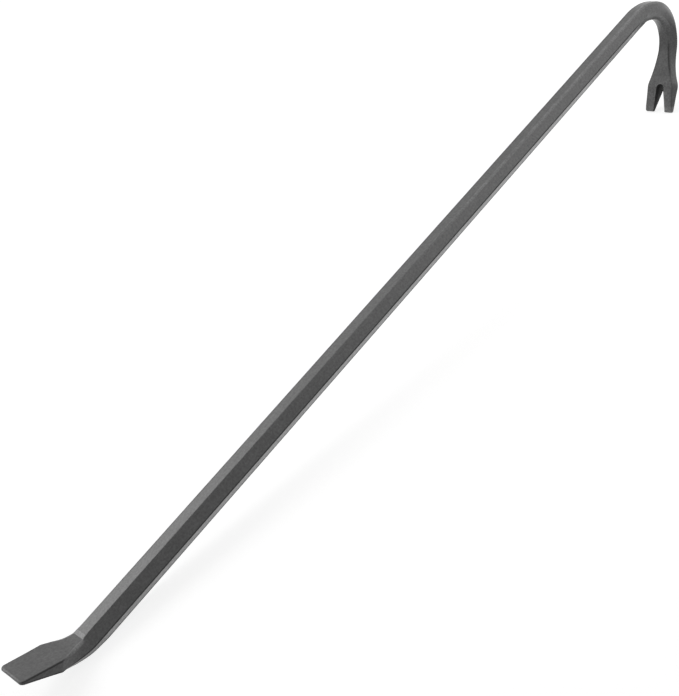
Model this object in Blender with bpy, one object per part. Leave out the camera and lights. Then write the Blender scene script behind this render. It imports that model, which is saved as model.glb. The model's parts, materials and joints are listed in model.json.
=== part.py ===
"""Forged wrecking bar: one length of hexagonal steel with a chisel blade at one end
and a hooked, slotted nail claw at the other.

The bar is lofted along its centreline. Distances run from the blade's tip, through the
heel bend, the straight shank and the two-radius hook, to the claw's tips. Every section
is a six-sided outline with rounded corners, so the hexagon can flow into the forged ends.
The finished bar rests on its heel and its claw tips, with +X towards the hook.
"""

import math

import bmesh
import bpy
from mathutils import Vector

MM = 0.001

# Hexagonal stock
STOCK_FLATS = 18.4 * MM             # across flats
STOCK_EDGE_RADIUS = 1.2 * MM        # rolled edges of the hexagon, at the blade's end
HOOK_EDGE_RADIUS = 1.8 * MM         # the same edges at the hook's end
CROOK_EDGE_RADIUS = 3.5 * MM        # the same edges, softened by bending the crook
SHANK_LENGTH = 781.5 * MM           # straight hexagon between the heel and the hook

# Centreline of the blade end
BLADE_STRAIGHT = 37.4 * MM          # blade tip to the start of the heel bend
HEEL_RADIUS = 35.6 * MM
HEEL_ANGLE = math.radians(37.6)

# Centreline of the hook end
HOOK_ENTRY_RADIUS = 74.6 * MM       # easy bend that leads out of the shank
HOOK_ENTRY_ANGLE = math.radians(33.2)
HOOK_RADIUS = 38.0 * MM             # tight bend of the crook
HOOK_ANGLE = math.radians(93.4)
CLAW_STRAIGHT = 62.7 * MM           # end of the crook to the claw tips

# Chisel blade
BLADE_LENGTH = 30.4 * MM            # tip to the shoulders
BLADE_SHOULDER_WIDTH = 29.6 * MM    # over the widest line of the side facets
BLADE_FACE_WIDTH = 28.0 * MM        # upper face at the shoulders
BLADE_UNDERSIDE_WIDTH = 23.2 * MM
BLADE_FACE_HEIGHT = 7.0 * MM        # upper face above the centreline at the shoulders
BLADE_WAIST_DEPTH = 1.1 * MM        # widest line below the centreline at the shoulders
BLADE_UNDERSIDE_DEPTH = 2.9 * MM    # underside below the centreline at the shoulders
BLADE_TIP_WIDTH = 27.6 * MM
BLADE_TIP_THICKNESS = 2.0 * MM
BLADE_TIP_CORNER = 3.0 * MM         # rounded corners of the cutting edge
BLADE_NECK_LENGTH = 35.0 * MM       # shoulders to where the upper face is as narrow as a flat
BLADE_NECK_ROUND = 2.5 * MM         # radius of the upper edges halfway along the neck
BLADE_SIDE_LENGTH = 31.8 * MM       # shoulders to where the side flats start
BLADE_KEEL_LENGTH = 43.0 * MM       # shoulders to where the lower flats are full
BLADE_FACE_SPREAD = 1.45            # how late the upper face widens
BLADE_SIDE_SPREAD = 3.00            # how late the sides widen
BLADE_UNDER_SPREAD = 1.60           # how late the underside widens
HEEL_LIFT = 0.6 * MM                # rise of the waist and the underside inside the heel

# Upper face in the heel: the blade's own plane, a saddle, and a short step up to the flat
CREASE_LENGTH = 30.4 * MM           # shoulders to the crease where the upper flat starts
STEP_LENGTH = 4.6 * MM
STEP_HEIGHT = 0.6 * MM
SADDLE_FALL = math.radians(17.8)    # fall of the saddle from the upper flat
SADDLE_ROUND = 0.4 * MM             # how softly the blade's plane turns into the saddle

# Nail claw
CLAW_LENGTH = 28.5 * MM             # tips to the shoulders
CLAW_SHOULDER_WIDTH = 35.8 * MM
CLAW_SHOULDER_ROUND = 3.5 * MM      # reach of the rounded shoulders
CLAW_FACE_WIDTH = 27.7 * MM         # inner face, towards the shank, at the shoulders
CLAW_BACK_WIDTH = 26.4 * MM         # outer face at the shoulders
CLAW_FACE_DEPTH = 6.5 * MM          # inner face from the centreline at the shoulders
CLAW_BACK_HEIGHT = 5.9 * MM         # outer face from the centreline at the shoulders
CLAW_TIP_WIDTH = 32.2 * MM
CLAW_TIP_THICKNESS = 3.3 * MM
CLAW_TIP_CORNER = 1.8 * MM
CLAW_BEVEL_LENGTH = 5.5 * MM        # steeper last stretch of the inner face
CLAW_BEVEL_DEPTH = 0.7 * MM         # how far that stretch stands proud at its start
CLAW_FLARE_LENGTH = 40.1 * MM       # shoulders to where the hexagon starts
CLAW_SIDE_SPREAD = 2.60             # how late the side facets flare
CLAW_FACE_SPREAD = 1.62             # how late the two faces flare

# Nail slot. Its seat half, next to the inner face, is a wide slot with a round end, and
# its throat half is a V. A narrow ledge for the nail's head joins them.
SLOT_SEAT_MOUTH = 12.5 * MM         # across the tips, at the ledge
SLOT_SEAT_DEPTH = 28.0 * MM         # from the tips to the far side of the round end
SLOT_SEAT_END_RADIUS = 3.4 * MM
SLOT_SEAT_DRAFT = 0.17              # how far the walls lean out, per depth above the ledge
SLOT_THROAT_MOUTH = 12.3 * MM
SLOT_THROAT_DEPTH = 23.6 * MM
SLOT_THROAT_END_RADIUS = 1.3 * MM
SLOT_LEDGE_DEPTH = 1.0 * MM         # ledge from the centreline, towards the inner face
SLOT_LEDGE_FALL = 0.5 * MM          # how much the ledge slopes down to the throat
SLOT_MOUTH_ROUND = 1.4 * MM         # rounded inner corners of the tips

# Facets
CORNER_STEPS = 3                    # along each rounded corner of a section
BEND_STEP = math.radians(3.0)
FLARE_STEP = 2.4 * MM
SHOULDER_STEP = 1.0 * MM
TIP_STEPS = 4
SLOT_END_STEPS = 14
SHARP_ANGLE = math.radians(25.0)
RESTING_PASSES = 12                 # turns of the search for the resting angle

BLADE_CREASE = BLADE_LENGTH + CREASE_LENGTH
BLADE_KEEL = BLADE_LENGTH + BLADE_KEEL_LENGTH
CLAW_NECK = CLAW_LENGTH + CLAW_FLARE_LENGTH

# Length and turn of each stretch of centreline; a positive turn bends it upwards
STRETCHES = (
    (BLADE_STRAIGHT, 0.0),
    (HEEL_RADIUS * HEEL_ANGLE, HEEL_ANGLE),
    (SHANK_LENGTH, 0.0),
    (HOOK_ENTRY_RADIUS * HOOK_ENTRY_ANGLE, -HOOK_ENTRY_ANGLE),
    (HOOK_RADIUS * HOOK_ANGLE, -HOOK_ANGLE),
    (CLAW_STRAIGHT, 0.0),
)
BAR_LENGTH = sum(length for length, _ in STRETCHES)
SHANK_START = BLADE_STRAIGHT + HEEL_RADIUS * HEEL_ANGLE
HOOK_RUN = HOOK_ENTRY_RADIUS * HOOK_ENTRY_ANGLE + HOOK_RADIUS * HOOK_ANGLE


def clear_scene():
    """Remove whatever the scene starts with."""
    for item in list(bpy.data.objects):
        bpy.data.objects.remove(item, do_unlink=True)


def centreline(distance):
    """Point on the centreline and its heading at a distance from the blade's tip."""
    x, z, heading = 0.0, 0.0, -HEEL_ANGLE
    for length, turn in STRETCHES:
        step = min(distance, length)
        if turn:
            radius = length / turn
            bend = turn * step / length
            x += radius * (math.sin(heading + bend) - math.sin(heading))
            z -= radius * (math.cos(heading + bend) - math.cos(heading))
            heading += bend
        else:
            x += step * math.cos(heading)
            z += step * math.sin(heading)
        distance -= step
        if distance <= 0.0:
            break
    return Vector((x, 0.0, z)), heading


def blend(first, second, share):
    return first + (second - first) * share


def ease(share):
    """Smooth step from 0 to 1."""
    return share * share * (3.0 - 2.0 * share)


def swell(share):
    """Smooth rise and fall between 0 and 1."""
    return math.sin(math.pi * share) ** 2 if 0.0 < share < 1.0 else 0.0


# A section is (top half-width, waist half-width, underside half-width,
#               top height, waist height, underside height)

def stock_section():
    corner = STOCK_FLATS / math.sqrt(3.0)
    half = STOCK_FLATS / 2.0
    return (corner / 2.0, corner, corner / 2.0, half, 0.0, -half)


def face_height(distance):
    """Height of the upper face above the centreline, from the shoulders to the upper flat."""
    half = STOCK_FLATS / 2.0
    point, heading = centreline(distance)
    normal = Vector((-math.sin(heading), 0.0, math.cos(heading)))
    tip = place(0.0, 0.0, BLADE_TIP_THICKNESS / 2.0)
    shoulder = place(BLADE_LENGTH, 0.0, BLADE_FACE_HEIGHT)
    foot = place(BLADE_CREASE - STEP_LENGTH, 0.0, half - STEP_HEIGHT)
    head = place(BLADE_CREASE, 0.0, half)
    fall = Vector((math.cos(SADDLE_FALL), 0.0, -math.sin(SADDLE_FALL)))
    blade = height_on(tip, shoulder - tip, point, normal)
    saddle = height_on(foot, fall, point, normal)
    step = height_on(foot, head - foot, point, normal)
    return min(max(soft_maximum(blade, saddle, SADDLE_ROUND), step), half)


def height_on(start, direction, point, normal):
    """Distance from a point along a normal to a straight line."""
    away = Vector((-direction.z, 0.0, direction.x))
    return (start - point).dot(away) / normal.dot(away)


def soft_maximum(first, second, reach):
    """The larger of two values, rounded where they differ by less than reach."""
    near = max(reach - abs(first - second), 0.0) / reach
    return max(first, second) + near * near * reach / 4.0


def blade_section(distance):
    """Section of the blade end at a distance from the blade's tip."""
    shoulder = (BLADE_FACE_WIDTH / 2.0, BLADE_SHOULDER_WIDTH / 2.0, BLADE_UNDERSIDE_WIDTH / 2.0,
                BLADE_FACE_HEIGHT, -BLADE_WAIST_DEPTH, -BLADE_UNDERSIDE_DEPTH)
    if distance >= BLADE_LENGTH:
        past = distance - BLADE_LENGTH
        face = 1.0 - (1.0 - min(past / BLADE_NECK_LENGTH, 1.0)) ** BLADE_FACE_SPREAD
        side = 1.0 - (1.0 - min(past / BLADE_SIDE_LENGTH, 1.0)) ** BLADE_SIDE_SPREAD
        under = 1.0 - (1.0 - min(past / BLADE_NECK_LENGTH, 1.0)) ** BLADE_UNDER_SPREAD
        fall = ease(min(past / BLADE_KEEL_LENGTH, 1.0))
        shares = (face, side, under, face, side, fall)
        section = [blend(a, b, s) for a, b, s in zip(shoulder, stock_section(), shares)]
        lift = HEEL_LIFT * swell(past / BLADE_SIDE_LENGTH)
        section[3:] = (face_height(distance), section[4] + lift, section[5] + lift)
        return tuple(section)
    tip = tip_section(BLADE_TIP_WIDTH, BLADE_TIP_THICKNESS)
    section = [blend(a, b, distance / BLADE_LENGTH) for a, b in zip(tip, shoulder)]
    return rounded_tip(section, distance, BLADE_TIP_CORNER)


def tip_section(width, thickness):
    half = thickness / 2.0
    face = width / 2.0 - half / 2.0
    return (face, width / 2.0, face, half, 0.0, -half)


def claw_section(distance):
    """Section at a distance from the claw's tips, rounded over at the shoulders."""
    share = 0.5 + 0.5 * (distance - CLAW_LENGTH) / CLAW_SHOULDER_ROUND
    if not 0.0 < share < 1.0:
        return claw_stretch(distance)
    three = [claw_stretch(CLAW_LENGTH + reach)
             for reach in (-CLAW_SHOULDER_ROUND, 0.0, CLAW_SHOULDER_ROUND)]
    return tuple(blend(blend(a, b, share), blend(b, c, share), share) for a, b, c in zip(*three))


def claw_stretch(distance):
    """Section of the claw end before or after its shoulders."""
    stock = stock_section()
    shoulder = (CLAW_BACK_WIDTH / 2.0, CLAW_SHOULDER_WIDTH / 2.0, CLAW_FACE_WIDTH / 2.0,
                CLAW_BACK_HEIGHT, 0.0, -CLAW_FACE_DEPTH)
    if distance >= CLAW_LENGTH:
        share = max((CLAW_NECK - distance) / CLAW_FLARE_LENGTH, 0.0)
        face = share ** CLAW_FACE_SPREAD
        side = share ** CLAW_SIDE_SPREAD
        shares = (face, side, face, share, share, share)
        return tuple(blend(a, b, s) for a, b, s in zip(stock, shoulder, shares))
    tip = tip_section(CLAW_TIP_WIDTH, CLAW_TIP_THICKNESS)
    section = [blend(a, b, distance / CLAW_LENGTH) for a, b in zip(tip, shoulder)]
    section[5] -= CLAW_BEVEL_DEPTH * min(distance / CLAW_BEVEL_LENGTH, 1.0)
    section[5] += (CLAW_BEVEL_DEPTH * max(distance - CLAW_BEVEL_LENGTH, 0.0)
                   / (CLAW_LENGTH - CLAW_BEVEL_LENGTH))
    return rounded_tip(section, distance, CLAW_TIP_CORNER)


def rounded_tip(section, distance, corner):
    """Draw a section's sides in along a quarter circle where it lies near a tip."""
    if distance >= corner:
        return tuple(section)
    inset = corner - math.sqrt(corner ** 2 - (corner - distance) ** 2)
    return tuple(width - inset for width in section[:3]) + tuple(section[3:])


def section_at(distance):
    """Section at a distance from the blade's tip."""
    if distance < BLADE_KEEL:
        return blade_section(distance)
    if BAR_LENGTH - distance < CLAW_NECK:
        return claw_section(BAR_LENGTH - distance)
    return stock_section()


def edge_radii(distance):
    """Radii of the top, waist and underside edges of the section at a distance."""
    along = min(max((distance - SHANK_START) / SHANK_LENGTH, 0.0), 1.0)
    radius = blend(STOCK_EDGE_RADIUS, HOOK_EDGE_RADIUS, along)
    turn = (distance - SHANK_START - SHANK_LENGTH) / HOOK_RUN
    if turn > 0.0:
        leg = min((BAR_LENGTH - distance) / CLAW_STRAIGHT, 1.0)
        radius = blend(STOCK_EDGE_RADIUS, HOOK_EDGE_RADIUS, leg)
        radius = blend(radius, CROOK_EDGE_RADIUS, swell(turn))
    top = blend(radius, BLADE_NECK_ROUND, swell((distance - BLADE_LENGTH) / BLADE_NECK_LENGTH))
    return top, radius, radius


def rounded_outline(section, radii):
    """Points (across, up) of a section, anticlockwise, with a short arc at each corner."""
    top_radius, waist_radius, under_radius = radii
    corner_radii = (top_radius, top_radius, waist_radius, under_radius, under_radius, waist_radius)
    top_width, waist_width, under_width, top, waist, under = section
    corners = [Vector(point) for point in (
        (top_width, top), (-top_width, top), (-waist_width, waist),
        (-under_width, under), (under_width, under), (waist_width, waist))]
    outline = []
    for index, (corner, wanted) in enumerate(zip(corners, corner_radii)):
        before = corners[index - 1] - corner
        after = corners[(index + 1) % len(corners)] - corner
        half_angle = before.angle(after) / 2.0
        limit = 0.45 * min(before.length, after.length)
        reach = min(wanted / math.tan(half_angle), limit)
        radius = reach * math.tan(half_angle)
        inward = (before.normalized() + after.normalized()).normalized()
        centre = corner + inward * (radius / math.sin(half_angle))
        start = corner + before.normalized() * reach - centre
        end = corner + after.normalized() * reach - centre
        sweep = math.pi - 2.0 * half_angle
        for step in range(CORNER_STEPS + 1):
            share = step / CORNER_STEPS
            weight_start = math.sin((1.0 - share) * sweep)
            weight_end = math.sin(share * sweep)
            outline.append(centre + (start * weight_start + end * weight_end) / math.sin(sweep))
    return outline


def spread(start, end, step):
    """Even distances from start to end, about a step apart, with both ends."""
    count = max(1, math.ceil((end - start) / step))
    return [start + (end - start) * index / count for index in range(count + 1)]


def tip_distances(corner):
    """Distances from a tip that follow its corner's quarter circle."""
    return [corner * (1.0 - math.cos(0.5 * math.pi * step / TIP_STEPS))
            for step in range(TIP_STEPS + 1)]


def stations():
    """Distances from the blade's tip at which the bar gets a section."""
    distances = tip_distances(BLADE_TIP_CORNER)
    distances += spread(BLADE_LENGTH, BLADE_CREASE - STEP_LENGTH, FLARE_STEP)
    distances += spread(BLADE_CREASE - STEP_LENGTH, BLADE_CREASE, FLARE_STEP)
    distances += spread(BLADE_CREASE, BLADE_KEEL, FLARE_STEP)
    passed = 0.0
    for length, turn in STRETCHES:
        step = length * BEND_STEP / abs(turn) if turn else length
        distances += spread(passed, passed + length, step)
        passed += length
    from_claw = tip_distances(CLAW_TIP_CORNER) + [CLAW_BEVEL_LENGTH]
    from_claw += spread(CLAW_LENGTH - CLAW_SHOULDER_ROUND, CLAW_LENGTH + CLAW_SHOULDER_ROUND,
                        SHOULDER_STEP)
    from_claw += spread(CLAW_LENGTH + CLAW_SHOULDER_ROUND, CLAW_NECK, FLARE_STEP)
    distances += [BAR_LENGTH - distance for distance in from_claw]
    kept = []
    for distance in sorted(distances):
        if not kept or distance - kept[-1] > 0.05 * MM:
            kept.append(distance)
    return kept


def place(distance, across, up):
    """Point beside the centreline: across the bar, and up from it in the bend's plane."""
    point, heading = centreline(distance)
    return point + Vector((-math.sin(heading) * up, across, math.cos(heading) * up))


def loft(rings, name):
    """Closed mesh object through rings of points that all have as many points."""
    mesh = bmesh.new()
    loops = [[mesh.verts.new(point) for point in ring] for ring in rings]
    size = len(loops[0])
    for lower, upper in zip(loops, loops[1:]):
        for index in range(size):
            after = (index + 1) % size
            mesh.faces.new((lower[index], lower[after], upper[after], upper[index]))
    mesh.faces.new(loops[0])
    mesh.faces.new(reversed(loops[-1]))
    bmesh.ops.recalc_face_normals(mesh, faces=mesh.faces)
    data = bpy.data.meshes.new(name)
    mesh.to_mesh(data)
    mesh.free()
    piece = bpy.data.objects.new(name, data)
    bpy.context.collection.objects.link(piece)
    return piece


def slot_outline(mouth, depth, end_radius, grow=0.0):
    """Points (distance from the tips, across) of a tapered slot with a round end, its sides
    moved out by grow."""
    half_mouth = mouth / 2.0 + grow
    radius = end_radius + grow
    centre = depth - end_radius
    run = centre - SLOT_MOUTH_ROUND
    taper = math.acos(radius / math.hypot(run, half_mouth)) - math.atan2(run, half_mouth)
    side = [(-2.0 * SLOT_MOUTH_ROUND, half_mouth + SLOT_MOUTH_ROUND)]
    for step in range(TIP_STEPS + 1):
        angle = 0.5 * math.pi * step / TIP_STEPS
        side.append((SLOT_MOUTH_ROUND * (1.0 - math.cos(angle)),
                     half_mouth + SLOT_MOUTH_ROUND * (1.0 - math.sin(angle))))
    first = 0.5 * math.pi - taper
    end = []
    for step in range(SLOT_END_STEPS + 1):
        angle = first * (1.0 - 2.0 * step / SLOT_END_STEPS)
        end.append((centre + radius * math.cos(angle), radius * math.sin(angle)))
    other_side = [(distance, -across) for distance, across in reversed(side)]
    return side + end + other_side


def slot_cutter():
    """Solid that leaves the nail slot: the seat, the ledge and the throat in one loft."""
    seat = (SLOT_SEAT_MOUTH, SLOT_SEAT_DEPTH, SLOT_SEAT_END_RADIUS)
    throat = (SLOT_THROAT_MOUTH, SLOT_THROAT_DEPTH, SLOT_THROAT_END_RADIUS)
    below = 2.0 * CLAW_FACE_DEPTH
    levels = (
        (-below, slot_outline(*seat, grow=SLOT_SEAT_DRAFT * (below - SLOT_LEDGE_DEPTH))),
        (-SLOT_LEDGE_DEPTH, slot_outline(*seat)),
        (SLOT_LEDGE_FALL - SLOT_LEDGE_DEPTH, slot_outline(*throat)),
        (2.0 * CLAW_BACK_HEIGHT, slot_outline(*throat)),
    )
    tip, heading = centreline(BAR_LENGTH)
    inward = Vector((-math.cos(heading), 0.0, -math.sin(heading)))
    across = Vector((0.0, 1.0, 0.0))
    up = Vector((-math.sin(heading), 0.0, math.cos(heading)))
    rings = [[tip + inward * distance + across * side + up * level for distance, side in outline]
             for level, outline in levels]
    cutter = loft(rings, "nail_slot_cutter")
    cutter.hide_render = True
    cutter.display_type = 'WIRE'
    return cutter


def forged_blank():
    """The bar before its nail slot is cut."""
    rings = [[place(distance, *point)
              for point in rounded_outline(section_at(distance), edge_radii(distance))]
             for distance in stations()]
    return loft(rings, "wrecking_bar")


def painted_steel():
    """Dark grey paint over the forged surface."""
    paint = bpy.data.materials.new("grey_paint")
    paint.use_nodes = True
    shader = paint.node_tree.nodes["Principled BSDF"]
    shader.inputs["Base Color"].default_value = (0.09, 0.09, 0.09, 1.0)
    shader.inputs["Roughness"].default_value = 0.45
    shader.inputs["Metallic"].default_value = 0.0
    return paint


def resting_pitch(points):
    """Angle about +Y that brings the heel and the claw tips to one height."""
    middle = centreline(BAR_LENGTH)[0].x / 2.0
    pitch = 0.0
    for _ in range(RESTING_PASSES):
        def height(point):
            return point.z * math.cos(pitch) - point.x * math.sin(pitch)
        heel = min((point for point in points if point.x < middle), key=height)
        claw = min((point for point in points if point.x > middle), key=height)
        pitch = math.atan2(claw.z - heel.z, claw.x - heel.x)
    return pitch


def stand(bar):
    """Turn and move the bar so that it stands on the floor, centred on the origin."""
    points = [vertex.co.copy() for vertex in bar.data.vertices]
    bar.rotation_euler = (0.0, resting_pitch(points), 0.0)
    turned = [bar.rotation_euler.to_matrix() @ point for point in points]
    middle = (min(point.x for point in turned) + max(point.x for point in turned)) / 2.0
    bar.location = (-middle, 0.0, -min(point.z for point in turned))


def main():
    clear_scene()
    bar = forged_blank()
    cutter = slot_cutter()
    cutter.parent = bar
    slot = bar.modifiers.new("nail_slot", 'BOOLEAN')
    slot.operation = 'DIFFERENCE'
    slot.solver = 'EXACT'
    slot.object = cutter
    bar.data.materials.append(painted_steel())
    bar.data.shade_smooth()
    bar.data.set_sharp_from_angle(angle=SHARP_ANGLE)
    stand(bar)


main()
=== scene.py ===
"""Forged wrecking bar in dark grey paint, on a pale studio floor.

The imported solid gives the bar's place. This script lofts the finely forged and painted
surface over it, in the same frame, and sets up the floor, the lamps and the camera.
"""

import json
import math
from typing import NamedTuple

import bmesh
import bpy
from bpy.props import FloatProperty, FloatVectorProperty, PointerProperty
from mathutils import Matrix, Vector, noise


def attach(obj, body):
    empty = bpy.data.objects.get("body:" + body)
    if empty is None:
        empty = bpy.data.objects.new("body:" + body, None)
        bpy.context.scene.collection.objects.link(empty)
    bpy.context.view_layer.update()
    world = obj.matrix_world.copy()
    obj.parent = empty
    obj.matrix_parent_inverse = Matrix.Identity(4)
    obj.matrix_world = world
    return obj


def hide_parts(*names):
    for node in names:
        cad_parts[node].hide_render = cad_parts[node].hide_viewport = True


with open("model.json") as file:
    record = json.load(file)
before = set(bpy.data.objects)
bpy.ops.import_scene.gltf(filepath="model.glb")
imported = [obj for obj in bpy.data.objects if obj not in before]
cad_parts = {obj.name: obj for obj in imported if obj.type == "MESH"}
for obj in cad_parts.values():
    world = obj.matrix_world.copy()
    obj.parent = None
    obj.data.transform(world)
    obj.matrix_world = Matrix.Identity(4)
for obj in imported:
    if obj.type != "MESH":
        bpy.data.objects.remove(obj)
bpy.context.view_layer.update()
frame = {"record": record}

bl_info = {
    "name": "Wrecking Bar",
    "version": (1, 0, 0),
    "blender": (4, 5, 0),
    "location": "View3D > Sidebar > Wrecking Bar",
    "description": "Builds a forged, painted wrecking bar and a small studio around it",
    "category": "Add Mesh",
}

MM = 0.001

# Corners of a section, in order around it: upper edges, middle edges and lower edges
TOP_CORNERS, WAIST_CORNERS, UNDER_CORNERS = (0, 1), (2, 5), (3, 4)
NEAR_TOP, FAR_TOP = (1,), (0,)      # upper edges on the -Y and the +Y side
# The corners that come before each flat
TOP_FLAT, UPPER_FLATS, LOW_FLATS, UNDERSIDE = (0,), (1, 5), (2, 4), (3,)

# Facets of the fine surface
CORNER_STEPS = 5                    # along each rounded corner of a section
CORNER_REACH = 0.45                 # the most of a side that one rounded corner takes up
BEND_STEP = math.radians(1.5)
SHANK_STEP = 3.0 * MM
BLADE_STEP = 2.0 * MM
FLARE_STEP = 1.0 * MM
CREASE_STEP = 0.3 * MM
LEAST_STEP = 0.04 * MM
TIP_STEPS = 6
SLOT_END_STEPS = 28
SHARP_ANGLE = math.radians(32.0)

# Forging
TIP_ROUND = 0.3                     # rounding of the tips' thin edges, per thickness
CROOK_RISE = 2.5                    # how soon the crook's soft edges reach their full radius
RIPPLE_SPAN = 14.0 * MM             # size of the unevenness along the surface
END_RIPPLE, SHANK_RIPPLE = 0.10 * MM, 0.03 * MM
RIPPLE_RUN = 1.5                    # how far the ends' ripple runs on, per length of the end
SKIN_INSET = 0.10 * MM              # keeps the uneven surface inside the solid's box

# Nail slot
LEDGE_GAP = 0.05 * MM               # from the slot's ledge to the inner rim, at the least
RIM_CURVE = ((-0.1, 1.1), (0.3, 0.3), (1.0, 0.0))   # depth and outward reach, per rim radius
RIM_END = 1.2                       # the same reach, clear of the steel
# The slot's walls and ledge are darkened to scale colour as painted shade in the recess, and its
# rims are made paler as a painted highlight
RIM_TONE, WALL_TONE, LEDGE_TONE = (0.0, 0.5), (1.0, 0.0), (0.6, 0.0)    # each: painted shade in scale colour, painted highlight in paler paint

# Where the paint is worn or rubbed, and where painted shade and painted highlights go
EDGE_MARGIN = 0.7 * MM              # from each corner to where a flat's own paint starts
LOW_MARGIN = 2.4 * MM               # the same, at the lower side of the lower flats
MARGIN_SHARE = 0.3                  # the most of a flat that one margin takes up
TIP_RUB = 0.4                       # the most that the two tips are rubbed
HARD_FADE, SOFT_FADE, LONG_FADE, SLOW_FADE = 0.3 * MM, 4.0 * MM, 12.0 * MM, 80.0 * MM
CROOK_SHADE = (0.25, 0.4)            # start of the crook's painted shade and its fade, per crook length
CROOK_HIGHLIGHT = (0.6, 0.3)              # end of the painted highlight inside the crook and its fade, per crook length
LOW_CROOK = 0.5                     # painted shade on the crook's lower flats, per painted shade on its sides

# Paint: scale, detail and roughness of its noises (grain, speckle, peel and clouds), then how
# strongly they show
PAINT_NOISES = ((900.0, 3.0, 0.55), (520.0, 3.0, 0.6), (240.0, 2.0, 0.5), (45.0, 4.0, 0.6))
CLOUD_SPECKLE = 0.45                # shading by the clouds, per shading by the speckle
CLOUD_ROUGHNESS = 0.2
SCALE_ROUGHNESS = 0.5               # how much rougher bare scale is than paint
PEEL_SHARE = 0.7                    # of the bump's height; the grain has the rest
BUMP_STRENGTH = 0.5
PATCH_LEAST, PATCH_GAIN = 0.2, 1.6  # rubbed paint and painted light where the clouds are thinnest, and its rise
WHITE = (1.0, 1.0, 1.0)


def length(name, description, millimetres):
    """A size of the bar, in metres."""
    return FloatProperty(name=name, description=description, default=millimetres * MM,
                         min=0.0, precision=4, unit='LENGTH')


def angle(name, description, degrees):
    """A bend or a slope, in radians."""
    return FloatProperty(name=name, description=description, default=math.radians(degrees),
                         min=0.0, subtype='ANGLE', unit='ROTATION')


def amount(name, description, value):
    """A plain number."""
    return FloatProperty(name=name, description=description, default=value, min=0.0)


def colour(name, description, value):
    """A colour, as linear red, green and blue."""
    return FloatVectorProperty(name=name, description=description, default=value,
                               size=3, min=0.0, max=1.0, subtype='COLOR')


class StockSizes(bpy.types.PropertyGroup):
    """The hexagonal bar and its bends."""
    flats: length("Across flats", "Width of the hexagon across its flats", 18.4)
    edge_radius: length("Edge radius", "Upper edges of the hexagon at the blade's end", 0.7)
    hook_edge_radius: length("Hook edge radius", "Upper edges at the hook's end", 3.0)
    waist_radius: length("Waist radius", "Middle and lower edges of the hexagon", 0.6)
    crook_edge_radius: length("Crook edge radius", "Upper edges in the crook", 3.5)
    crook_waist_radius: length("Crook waist radius", "Middle and lower edges in the crook", 8.0)
    leg_edge_radius: length("Leg edge radius", "All edges from the crook to the claw", 1.2)
    leg_edge_lead: length("Leg edge lead", "Last stretch of the crook with the leg's edges", 13.0)
    shank: length("Shank", "Straight hexagon between the heel and the hook", 781.5)
    blade_straight: length("Blade straight", "Blade tip to the start of the heel bend", 37.4)
    heel_radius: length("Heel radius", "Centreline radius of the heel bend", 35.6)
    heel_angle: angle("Heel angle", "Turn of the heel bend", 37.6)
    entry_radius: length("Hook entry radius", "Centreline radius where the hook starts", 74.6)
    entry_angle: angle("Hook entry angle", "Turn of the easy bend into the hook", 33.2)
    hook_radius: length("Hook radius", "Centreline radius of the crook", 38.0)
    hook_angle: angle("Hook angle", "Turn of the crook", 93.4)
    claw_straight: length("Claw straight", "End of the crook to the claw tips", 62.7)


class BladeSizes(bpy.types.PropertyGroup):
    """The chisel blade."""
    length: length("Length", "Tip to the shoulders", 30.4)
    shoulder_width: length("Shoulder width", "Over the widest line of the sides", 29.6)
    face_width: length("Face width", "Upper face at the shoulders", 28.0)
    under_width: length("Underside width", "Underside at the shoulders", 23.2)
    face_height: length("Face height", "Upper face above the centreline at the shoulders", 7.0)
    waist_depth: length("Waist depth", "Widest line below the centreline", 1.1)
    under_depth: length("Underside depth", "Underside below the centreline", 2.9)
    tip_width: length("Tip width", "Width of the cutting edge", 27.6)
    tip_thickness: length("Tip thickness", "Thickness of the cutting edge", 2.0)
    tip_corner: length("Tip corner", "Radius of the edge's corners", 3.0)
    neck: length("Neck", "Shoulders to where the upper face is as narrow as the flat", 35.0)
    crease: length("Crease", "Shoulders to where the upper flat starts", 30.4)
    neck_round: length("Neck round", "Radius of the upper edges halfway along the neck", 2.5)
    step_length: length("Step length", "Short facet that leads up to the upper flat", 4.6)
    step_height: length("Step height", "Rise of that facet", 0.6)
    saddle_fall: angle("Saddle fall", "Fall of the face before that facet, from the flat", 17.8)
    saddle_round: length("Saddle round", "How softly the blade's face turns into the saddle", 0.4)
    keel: length("Keel", "Shoulders to the start of the lower flats", 43.0)
    side: length("Side", "Shoulders to the start of the side flats", 31.8)
    face_spread: amount("Face spread", "How late the upper face widens", 1.45)
    side_spread: amount("Side spread", "How late the sides widen", 3.0)
    under_spread: amount("Underside spread", "How late the underside widens", 1.6)
    heel_lift: length("Heel lift", "Rise of the waist and the underside inside the heel", 0.6)


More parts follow.
